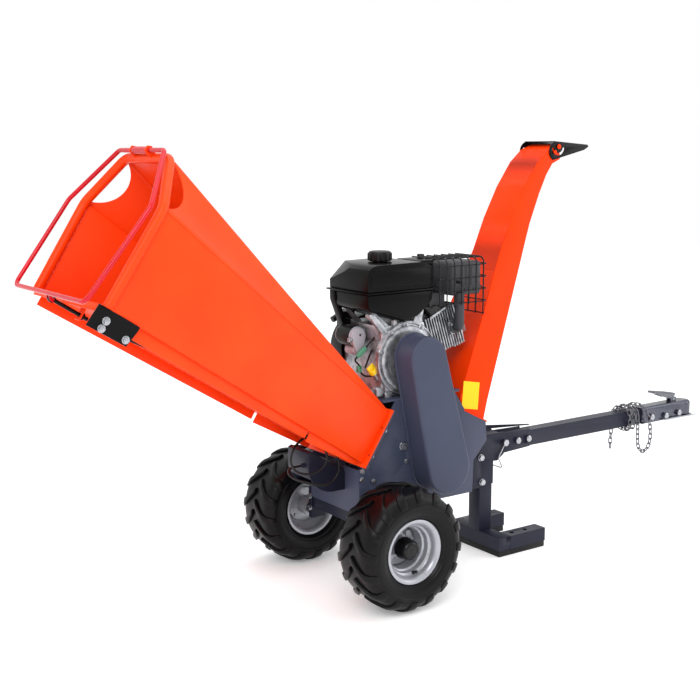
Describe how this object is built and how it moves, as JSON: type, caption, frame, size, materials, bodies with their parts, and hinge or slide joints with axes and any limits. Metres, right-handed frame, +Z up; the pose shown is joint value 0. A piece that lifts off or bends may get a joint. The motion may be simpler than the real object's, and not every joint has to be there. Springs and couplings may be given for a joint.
{
  "type": "wood chipper",
  "caption": "Towable petrol wood chipper: tapered feed hopper with a safety bar, rotor housing on two wheels, belt drive, discharge chute and folding drawbar.",
  "frame": {"origin": "on the ground, midway between the wheels, right under the wheel axis", "axes": "+X forward to the tow coupler, +Y to the machine's left, +Z up"},
  "size_m": [2.7899, 0.78, 1.488],
  "materials": {
    "orange_paint": "semi-gloss powder coat",
    "red_orange_paint": "semi-gloss powder coat",
    "crimson_paint": "gloss powder coat",
    "slate_paint": "semi-gloss powder coat",
    "dark_slate_paint": "semi-gloss powder coat",
    "black_paint": "semi-gloss",
    "silver_paint": "semi-gloss",
    "tyre_rubber": "matte",
    "pad_rubber": "matte",
    "belt_rubber": "matte",
    "cable_pvc": "satin",
    "zinc_steel": "bright zinc plate",
    "dark_steel": "oiled",
    "tool_steel": "ground",
    "black_plastic": "fine grained",
    "yellow_plastic": "gloss",
    "cast_aluminium": "as cast",
    "cast_iron": "machined"
  },
  "bodies": {
    "frame": {"air_cleaner": "black_plastic", "axle_beam": "dark_slate_paint", "battery_box": "black_paint", "bed_knife": "tool_steel", "belt_guard_back": "slate_paint", "belt_guard_cover": "slate_paint", "blower_housing": "black_paint", "chute": "red_orange_paint", "corner_plate": "black_paint", "drive_belts": "belt_rubber", "engine_crankcase": "cast_aluminium", "engine_cylinder": "cast_aluminium", "engine_deck": "slate_paint", "frame_fasteners": "zinc_steel", "fuel_tank": "black_paint", "hopper_floor": "orange_paint", "hopper_rim": "orange_paint", "hopper_roof": "orange_paint", "hopper_sides": "orange_paint", "housing_shell": "slate_paint", "housing_sides": "slate_paint", "muffler": "dark_steel", "muffler_guard": "black_paint", "recoil_starter": "black_paint", "rotor_bearings": "cast_iron", "stand_foot": "dark_slate_paint", "stand_pads": "pad_rubber", "stand_post": "dark_slate_paint", "stand_stub": "dark_slate_paint", "starter_motor": "silver_paint", "stop_switch": "black_plastic", "switch_cable": "cable_pvc", "tow_receiver": "dark_slate_paint", "wheel_spindles": "dark_slate_paint"},
    "wheel_left": {"tyre_left": "tyre_rubber", "rim_left": "silver_paint", "hub_left": "silver_paint", "hub_cap_left": "black_plastic"},
    "wheel_right": {"tyre_right": "tyre_rubber", "rim_right": "silver_paint", "hub_right": "silver_paint", "hub_cap_right": "black_plastic"},
    "rotor": {"rotor_shaft": "dark_steel", "rotor_drum": "dark_steel", "chipper_knives": "tool_steel", "driven_pulley": "cast_iron"},
    "engine_crank": {"engine_crankshaft": "dark_steel", "drive_clutch": "cast_iron"},
    "stop_bar": {"stop_bar": "crimson_paint"},
    "push_rod": {"push_rod": "zinc_steel"},
    "chute_deflector": {"chute_deflector": "black_paint"},
    "tow_bar": {"tow_bar": "dark_slate_paint", "coupler_body": "black_paint", "safety_chain": "zinc_steel"},
    "hitch_pin": {"hitch_pin": "zinc_steel"},
    "coupler_latch": {"coupler_latch": "zinc_steel"},
    "fuel_cap": {"fuel_cap": "black_plastic"},
    "oil_dipstick": {"oil_dipstick": "yellow_plastic"},
    "throttle_lever": {"throttle_lever": "black_paint"},
    "recoil_handle": {"recoil_handle": "black_plastic"}
  },
  "joints": [
    {"name": "wheel_left_spin", "type": "hinge", "parent": "frame", "child": "wheel_left", "pos_m": [0, 0.297, 0.203], "axis": [0, 1, 0], "continuous": true},
    {"name": "wheel_right_spin", "type": "hinge", "parent": "frame", "child": "wheel_right", "pos_m": [0, -0.297, 0.203], "axis": [0, 1, 0], "continuous": true},
    {"name": "rotor_spin", "type": "hinge", "parent": "frame", "child": "rotor", "pos_m": [0.258, 0, 0.404], "axis": [0, 1, 0], "continuous": true},
    {"name": "crank_spin", "type": "hinge", "parent": "frame", "child": "engine_crank", "pos_m": [0.168, 0, 0.786], "axis": [0, 1, 0], "continuous": true},
    {"name": "stop_bar_swing", "type": "hinge", "parent": "frame", "child": "stop_bar", "pos_m": [-0.72293, 0, 1.46202], "axis": [0, 1, 0], "range_deg": [-3, 0], "stiffness_Nm_per_rad": 60, "springref_deg": 5.73},
    {"name": "push_rod_slide", "type": "slide", "parent": "frame", "child": "push_rod", "axis": [-0.8387, 0, 0.5446], "range_m": [-0.026, 0]},
    {"name": "deflector_tilt", "type": "hinge", "parent": "frame", "child": "chute_deflector", "pos_m": [0.882, 0, 1.468], "axis": [0, 1, 0], "range_deg": [-15, 50]},
    {"name": "tow_bar_fold", "type": "hinge", "parent": "frame", "child": "tow_bar", "pos_m": [0.682, 0, 0.393], "axis": [0, -1, 0], "range_deg": [0, 60]},
    {"name": "hitch_pin_swing", "type": "hinge", "parent": "frame", "child": "hitch_pin", "pos_m": [0.682, 0, 0.393], "axis": [0, 1, 0], "range_deg": [-40, 20]},
    {"name": "coupler_latch_lift", "type": "hinge", "parent": "tow_bar", "child": "coupler_latch", "pos_m": [1.65, 0, 0.432], "axis": [0, 1, 0], "range_deg": [0, 60]},
    {"name": "fuel_cap_turn", "type": "hinge", "parent": "frame", "child": "fuel_cap", "pos_m": [0.13, -0.01, 1.11], "axis": [0, 0, 1], "range_deg": [0, 90]},
    {"name": "dipstick_turn", "type": "hinge", "parent": "frame", "child": "oil_dipstick", "pos_m": [0.068, -0.084, 0.71], "axis": [-0.6, 0, 0.8], "range_deg": [0, 170]},
    {"name": "throttle_swing", "type": "hinge", "parent": "frame", "child": "throttle_lever", "pos_m": [0.06, 0.135, 0.905], "axis": [0, 1, 0], "range_deg": [-30, 30]},
    {"name": "recoil_pull", "type": "slide", "parent": "frame", "child": "recoil_handle", "axis": [-0.45, 0, 0.893], "range_m": [0, 0.02], "stiffness_N_per_m": 100, "springref_m": -0.05}
  ],
  "couplings": [
    {"joint": "crank_spin", "follows": "rotor_spin", "ratio": 1.2932},
    {"joint": "push_rod_slide", "follows": "stop_bar_swing", "m_per_rad": 0.495}
  ]
}
